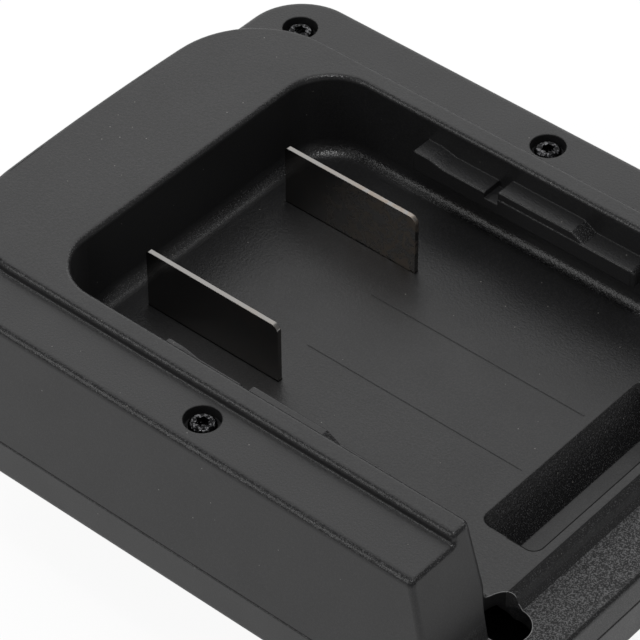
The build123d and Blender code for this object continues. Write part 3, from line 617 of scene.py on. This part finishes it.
def strip_points():
    """Corners of the strip, one arc above and one below at each step across the part."""
    low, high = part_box("upper_housing")
    lean = HOUSING_HEIGHT * math.tan(SIDE_DRAFT)
    bow = (BOW_HALF_WIDTH ** 2 + BACK_BOW ** 2) / (2 * BACK_BOW) - lean
    inward = EDGE_RADIUS / math.cos(SIDE_DRAFT) - EDGE_RADIUS * math.tan(SIDE_DRAFT)
    middle_z = high[2] / MM - EDGE_RADIUS
    points = []
    for step in range(STRIP_STEPS + 1):
        y = STRIP_HALF_WIDTH * (2 * step / STRIP_STEPS - 1)
        middle_x = low[0] / MM + lean + inward + bow - math.sqrt(bow ** 2 - y ** 2)
        for radius in (EDGE_RADIUS + PROUD, EDGE_RADIUS - STRIP_THICKNESS):
            for turn in range(ARC_STEPS + 1):
                angle = ARC_START + (ARC_END - ARC_START) * turn / ARC_STEPS
                points.append((middle_x - radius * math.sin(angle), y, middle_z + radius * math.cos(angle)))
    return points


def rim_strip():
    """Thin closed strip along the round of the rim's back edge."""
    row = ARC_STEPS + 1
    loop = list(range(row)) + [row + turn for turn in reversed(range(row))]
    faces = [loop, [2 * row * STRIP_STEPS + corner for corner in reversed(loop)]]
    for step in range(STRIP_STEPS):
        start = 2 * row * step
        for here, there in zip(loop, loop[1:] + loop[:1]):
            faces.append([start + there, start + here, start + 2 * row + here, start + 2 * row + there])
    mesh = bpy.data.meshes.new("rim_edge_strip")
    mesh.from_pydata([tuple(c * MM for c in point) for point in strip_points()], [], faces)
    mesh.polygons.foreach_set("use_smooth", [True] * len(faces))
    mesh.set_sharp_from_angle(angle=SMOOTH_BELOW)
    strip = bpy.data.objects.new("rim_edge_strip", mesh)
    bpy.context.scene.collection.objects.link(strip)
    return strip


strip = rim_strip()
strip.data.materials.append(eroded_nylon("spark_eroded_nylon_rim_edge", edge=0))
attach(strip, "housing")
print("strip faces", len(strip.data.polygons), "over", 2 * STRIP_HALF_WIDTH, "mm of the rim's back edge")

# %% [markdown]
# Two small coil springs push the latch out. A real coil shortens when the latch is pressed, but a rigid one
# would cut into the latch. Each of them is shown by a copy of its coil with a mesh of its own, which rides on
# the housing while the original piece is hidden. It is the same coil, so nothing changes at rest.

for name in ("latch_spring_left", "latch_spring_right"):
    coil = bpy.data.objects.new(name + "_coil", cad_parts[name].data.copy())
    bpy.context.scene.collection.objects.link(coil)
    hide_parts(name)
    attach(coil, "housing")
    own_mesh(coil)

# %% [markdown]
# The adapter lies on white paper. A catalogue picture has a pure white ground, and the simple way to get one
# is more light, but that would bleach the part as well. Here the paper glows only for rays that come from
# the camera, a gloss or a glass, so the part is lit by the lamps alone, while its glossy sides still mirror
# white paper. A share of plain diffuse paper stays in the mix, which keeps the soft shadow under the part.

# %% Paper floor
FLOOR_SIZE = 6000.0
PAPER = "#e9e9e9"
PAPER_GLOW = 1.08
SEEN_SHARE = 0.86
MIRRORED_SHARE = 0.5

half = FLOOR_SIZE / 2 * MM
corners = [(-half, -half, 0), (half, -half, 0), (half, half, 0), (-half, half, 0)]
floor_mesh = bpy.data.meshes.new("floor")
floor_mesh.from_pydata(corners, [], [(0, 1, 2, 3)])
floor = bpy.data.objects.new("floor", floor_mesh)
bpy.context.scene.collection.objects.link(floor)

paper, tree = new_material("white_paper")
sheet = add(tree, "ShaderNodeBsdfDiffuse", values={"Color": linear(PAPER)})
glow = add(tree, "ShaderNodeEmission", values={"Color": linear(WHITE), "Strength": PAPER_GLOW})
path = add(tree, "ShaderNodeLightPath")
seen = add(tree, "ShaderNodeMath", {0: path.outputs["Is Camera Ray"], 1: path.outputs["Is Transmission Ray"]},
           operation="MAXIMUM")
seen = add(tree, "ShaderNodeMath", {0: seen.outputs[0]}, {1: SEEN_SHARE}, operation="MULTIPLY")
mirrored = add(tree, "ShaderNodeMath", {0: path.outputs["Is Glossy Ray"]}, {1: MIRRORED_SHARE},
               operation="MULTIPLY")
share = add(tree, "ShaderNodeMath", {0: seen.outputs[0], 1: mirrored.outputs[0]}, operation="MAXIMUM")
mixed = add(tree, "ShaderNodeMixShader", {"Fac": share.outputs[0], 1: sheet.outputs[0], 2: glow.outputs[0]})
add(tree, "ShaderNodeOutputMaterial", {"Surface": mixed.outputs[0]})
floor.data.materials.append(paper)
print("paper", FLOOR_SIZE, "mm wide, glow share seen", SEEN_SHARE, "and mirrored", MIRRORED_SHARE)

# %% [markdown]
# A studio is never black around the part. A weak, even grey world stands for the room's own light,
# and it fills the pocket's walls so that they don't drop to pure black.

# %% Room light
ROOM_LIGHT = 0.22

world = bpy.data.worlds.new("studio")
bpy.context.scene.world = world
world.use_nodes = True
tree = world.node_tree
tree.nodes.clear()
ambient = add(tree, "ShaderNodeBackground", values={"Color": linear(WHITE), "Strength": ROOM_LIGHT})
add(tree, "ShaderNodeOutputWorld", {"Surface": ambient.outputs[0]})
print("room light", ROOM_LIGHT)

# %% [markdown]
# Black plastic shows the lights more than its colour. The flat tops are grey because they mirror a large
# softbox behind the part, at the angle where the camera's line of sight bounces off a level face.
# The box is large, so the tops are even and the edges fall off softly. A second box overhead reaches
# into the pocket, and a small one at the left lifts the long side. One hard little lamp beside the overhead
# box draws the bright dots and crisp lines that soft light alone would wash out.

# %% Softboxes
LIGHT_AIM = (0, 0, 30)


def softbox(name, place, size, power):
    """Soft rectangular studio light that points at the part."""
    lamp = bpy.data.lights.new(name, "AREA")
    lamp.shape = "RECTANGLE"
    lamp.size = size[0] * MM
    lamp.size_y = size[1] * MM
    lamp.energy = power
    light = bpy.data.objects.new(name, lamp)
    light.location = Vector(place) * MM
    light.rotation_euler = (Vector(LIGHT_AIM) - Vector(place)).to_track_quat("-Z", "Y").to_euler()
    bpy.context.scene.collection.objects.link(light)
    return light


softboxes = [
    softbox("back_softbox", (-605, 694, 735), (1700, 1200), 6.2),
    softbox("top_softbox", (150, -50, 1200), (800, 800), 2.0),
    softbox("overhead_lamp", (180, -200, 1150), (130, 130), 1.2),
    softbox("left_softbox", (-484, -677, 585), (520, 420), 1.1),
]
print("softboxes", [(light.name, round(light.data.energy, 2)) for light in softboxes])

# %% [markdown]
# The camera stands in front, to the right and above, with a long lens from half a metre, as a
# catalogue picture of a small part is taken. Its place and direction are given as real lengths and as
# unit vectors, which says exactly where it looks without any aim object.

# %% Camera
CAMERA_PLACE = (258.17, -307.93, 406.74)
CAMERA_LOOK = (-0.48365, 0.55453, -0.67719)
CAMERA_RIGHT = (0.75697, 0.65343, -0.00556)
FOCAL_LENGTH = 205.5
SENSOR_WIDTH = 36
NEAREST = 10

camera_data = bpy.data.cameras.new("camera")
camera_data.sensor_width = SENSOR_WIDTH
camera_data.lens = FOCAL_LENGTH
camera_data.clip_start = NEAREST * MM
camera_data.clip_end = FLOOR_SIZE * 3 * MM
camera = bpy.data.objects.new("camera", camera_data)
bpy.context.scene.collection.objects.link(camera)
look = Vector(CAMERA_LOOK).normalized()
right = Vector(CAMERA_RIGHT).normalized()
up = right.cross(look)
turn = Matrix((right, up, -look)).transposed().to_4x4()
camera.matrix_world = Matrix.Translation(Vector(CAMERA_PLACE) * MM) @ turn
bpy.context.scene.camera = camera
bpy.context.scene.view_settings.view_transform = "Standard"
print("camera looks down by", round(math.degrees(math.asin(-look.z)), 1), "degrees")
